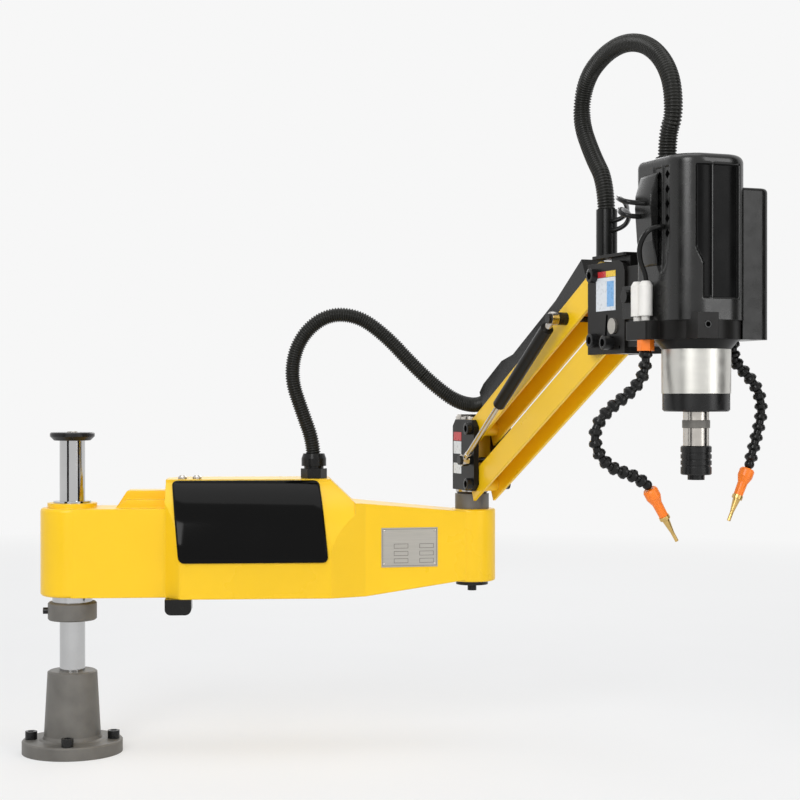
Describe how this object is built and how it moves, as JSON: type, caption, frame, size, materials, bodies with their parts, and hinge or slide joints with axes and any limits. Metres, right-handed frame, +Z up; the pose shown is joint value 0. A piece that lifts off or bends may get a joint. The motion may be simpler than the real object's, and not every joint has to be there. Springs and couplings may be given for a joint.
{
  "type": "arm tapping machine",
  "caption": "Arm tapping machine: a column carries a swinging casting, an elbow, parallel lift links with a gas spring and a motor spindle with coolant hoses.",
  "frame": {"origin": "bottom of the base flange on the column axis", "axes": "+Z up the column, +X along the horizontal casting, -Y towards the camera"},
  "size_m": [0.9742, 0.766, 1.0196],
  "materials": {
    "yellow_paint": "glossy powder coat",
    "grey_casting": "painted casting, satin",
    "ground_steel": "ground",
    "bright_steel": "turned",
    "black_steel": "blackened",
    "black_paint": "satin black",
    "black_gloss": "polished",
    "black_plastic": "moulded",
    "black_hose": "corrugated or drawn, semi-matt",
    "plate_metal": "brushed",
    "silver_metal": "fine turned",
    "white_plastic": "moulded",
    "orange_plastic": "moulded",
    "brass": "turned"
  },
  "bodies": {
    "base": {"base_casting": "grey_casting", "base_screws": "black_steel", "column": "ground_steel", "column_cap": "black_steel", "column_cap_screw": "bright_steel"},
    "collar": {"height_collar": "grey_casting", "collar_set_screw": "black_steel", "thrust_ring": "ground_steel"},
    "arm": {"arm_casting": "yellow_paint", "column_bushes": "ground_steel", "control_cover": "black_gloss", "power_inlet": "black_plastic", "box_fittings": "bright_steel", "nameplate": "plate_metal", "hose_gland": "black_plastic", "hose_gland_nut": "black_plastic", "hose_lower": "black_hose"},
    "knuckle": {"elbow_pivot": "bright_steel", "elbow_sleeve": "grey_casting", "elbow_retainer": "bright_steel", "knuckle_block": "yellow_paint", "knuckle_cap": "black_steel", "knuckle_plates": "black_paint", "knuckle_pins": "black_steel", "spring_foot_stud": "bright_steel"},
    "lower_link": {"lower_channel": "yellow_paint"},
    "upper_link": {"upper_channel": "yellow_paint", "cable_duct": "black_plastic", "spring_head_stud": "bright_steel"},
    "gas_rod": {"spring_rod": "bright_steel"},
    "gas_tube": {"spring_head_eye": "bright_steel", "spring_tube": "black_paint"},
    "head": {"head_plates": "black_paint", "head_pins": "black_steel", "head_block": "black_paint", "tilt_disc": "plate_metal", "head_bracket": "black_paint", "valve_block": "black_plastic", "clamp_ring": "black_paint", "motor_cover": "black_gloss", "side_case": "black_plastic", "cable_housing": "black_plastic", "motor_port": "black_plastic", "couplings": "white_plastic", "housing_cone": "black_paint", "gear_housing": "silver_metal", "bearing_ring": "black_steel", "hose_nut": "orange_plastic", "coolant_left_links": "black_plastic", "coolant_right_links": "black_plastic", "coolant_connectors": "orange_plastic", "coolant_nozzles": "brass", "hose_boot": "black_plastic", "hose_upper": "black_hose", "air_tubes": "black_hose", "coupling_tube": "black_hose"},
    "spindle": {"spindle_shank": "bright_steel", "shank_ring": "grey_casting", "tap_chuck": "black_steel"}
  },
  "joints": [
    {"name": "arm_height", "type": "slide", "parent": "base", "child": "collar", "axis": [0, 0, 1], "range_m": [-0.075, 0.085]},
    {"name": "column_swing", "type": "hinge", "parent": "collar", "child": "arm", "pos_m": [0, 0, 0.3], "axis": [0, 0, 1], "range_deg": [-170, 170]},
    {"name": "elbow_swing", "type": "hinge", "parent": "arm", "child": "knuckle", "pos_m": [0.6058, 0, 0.3], "axis": [0, 0, 1], "range_deg": [-47.4, 192.6], "deforming": ["hose_lower"]},
    {"name": "lift", "type": "hinge", "parent": "knuckle", "child": "lower_link", "pos_m": [0.62258, -0.05343, 0.40415], "axis": [-0.9541, -0.2996, 0], "range_deg": [-30, 20], "deforming": ["hose_lower"]},
    {"name": "upper_link_turn", "type": "hinge", "parent": "knuckle", "child": "upper_link", "pos_m": [0.62258, -0.05343, 0.48687], "axis": [-0.9541, -0.2996, 0], "range_deg": [-30.2, 20.2]},
    {"name": "head_level", "type": "hinge", "parent": "lower_link", "child": "head", "pos_m": [0.7404, -0.42866, 0.60694], "axis": [-0.9541, -0.2996, 0], "range_deg": [-20.2, 30.2]},
    {"name": "gas_rod_turn", "type": "hinge", "parent": "knuckle", "child": "gas_rod", "pos_m": [0.58698, -0.06356, 0.43997], "axis": [-0.9541, -0.2996, 0], "range_deg": [-28.3, 18.9]},
    {"name": "gas_tube_turn", "type": "hinge", "parent": "upper_link", "child": "gas_tube", "pos_m": [0.67567, -0.34604, 0.63902], "axis": [-0.9541, -0.2996, 0], "range_deg": [-1.5, 2.2]},
    {"name": "spindle_spin", "type": "hinge", "parent": "head", "child": "spindle", "pos_m": [0.80082, -0.6211, 0.52], "axis": [0, 0, 1], "continuous": true}
  ],
  "couplings": [
    {"joint": "upper_link_turn", "follows": "lift", "ratio": 1},
    {"joint": "head_level", "follows": "lift", "ratio": -1},
    {"joint": "gas_rod_turn", "follows": "lift", "ratio": 0.934},
    {"joint": "gas_tube_turn", "follows": "lift", "ratio": -0.066}
  ]
}
